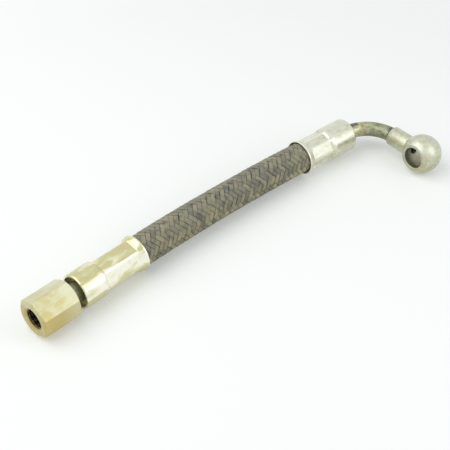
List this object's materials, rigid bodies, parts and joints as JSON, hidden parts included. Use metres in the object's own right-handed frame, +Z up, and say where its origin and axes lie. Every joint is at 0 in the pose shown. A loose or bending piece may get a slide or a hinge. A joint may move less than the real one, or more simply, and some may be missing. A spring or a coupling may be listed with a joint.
{
  "type": "air compressor hose",
  "caption": "Short braided air hose with crimped ferrules: a hexagonal stem with a female thread on one end, a bent pipe with a ring eye on the other.",
  "frame": {"origin": "middle of the base of the object's box, on the surface that it lies on", "axes": "+X along the hose's straight end, from the open mouth of the hex towards the eye; +Z up, square to the plane of the pipe's bend; the eye lies towards -Y"},
  "size_m": [0.2868, 0.0876, 0.0259],
  "materials": {
    "yellow_plated_steel": "glossy zinc plating with a yellow iridescent passivation",
    "green_plated_steel": "satin zinc plating with a pale green iridescent passivation",
    "dull_plated_steel": "thin, stained zinc plating on drawn tube",
    "brazing_metal": "rough brazing metal, plated over",
    "rubber_tube": "matt extruded rubber",
    "textile_braid": "dusty rubber-soaked textile braid"
  },
  "bodies": {
    "root": {"hex_stem": "yellow_plated_steel", "nut_ferrule": "yellow_plated_steel", "inner_tube": "rubber_tube", "braided_cover": "textile_braid", "eye_ferrule": "green_plated_steel", "bent_pipe": "dull_plated_steel", "ring_eye": "green_plated_steel", "brazed_fillet": "brazing_metal"}
  },
  "joints": []
}
